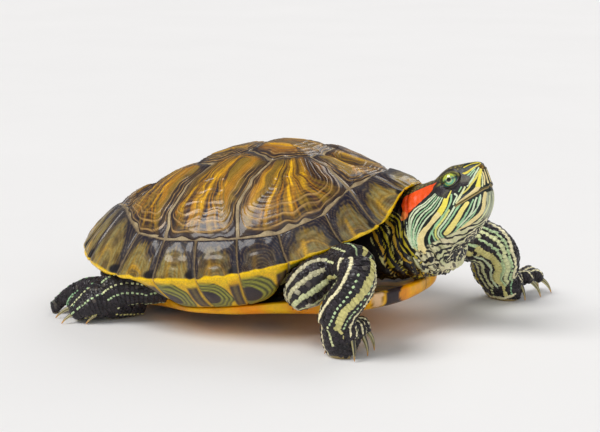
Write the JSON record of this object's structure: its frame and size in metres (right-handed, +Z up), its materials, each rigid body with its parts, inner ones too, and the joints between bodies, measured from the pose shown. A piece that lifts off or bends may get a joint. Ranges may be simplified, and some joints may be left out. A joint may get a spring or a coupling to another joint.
{
  "type": "red-eared slider turtle figure",
  "caption": "Life-size still figure of a red-eared slider turtle, standing on its feet with its head raised.",
  "frame": {"origin": "on the floor, under the middle of the whole animal's box", "axes": "+X the way the turtle faces, +Y its left side, +Z up"},
  "size_m": [0.2, 0.1618, 0.0793],
  "materials": {
    "shell": "glossy painted keratin plates",
    "belly_plate": "satin to glossy painted keratin plates",
    "skin": "scaly skin, satin",
    "eye": "wet, polished",
    "claw": "translucent horn, satin"
  },
  "bodies": {
    "root": {"carapace": "shell", "plastron": "belly_plate", "trunk": "skin", "neck": "skin", "head": "skin", "lower_jaw": "skin", "eye_left": "eye", "eye_right": "eye", "foreleg_right_upper": "skin", "foreleg_right_lower": "skin", "foreleg_right_foot": "skin", "foreleg_right_claw_1": "claw", "foreleg_right_claw_2": "claw", "foreleg_right_claw_3": "claw", "foreleg_right_claw_4": "claw", "foreleg_right_claw_5": "claw", "foreleg_left_upper": "skin", "foreleg_left_lower": "skin", "foreleg_left_foot": "skin", "foreleg_left_claw_1": "claw", "foreleg_left_claw_2": "claw", "foreleg_left_claw_3": "claw", "foreleg_left_claw_4": "claw", "foreleg_left_claw_5": "claw", "hindleg_right_upper": "skin", "hindleg_right_lower": "skin", "hindleg_right_foot": "skin", "hindleg_right_claw_1": "claw", "hindleg_right_claw_2": "claw", "hindleg_right_claw_3": "claw", "hindleg_right_claw_4": "claw", "hindleg_left_upper": "skin", "hindleg_left_lower": "skin", "hindleg_left_foot": "skin", "hindleg_left_claw_1": "claw", "hindleg_left_claw_2": "claw", "hindleg_left_claw_3": "claw", "hindleg_left_claw_4": "claw", "tail": "skin"}
  },
  "joints": []
}
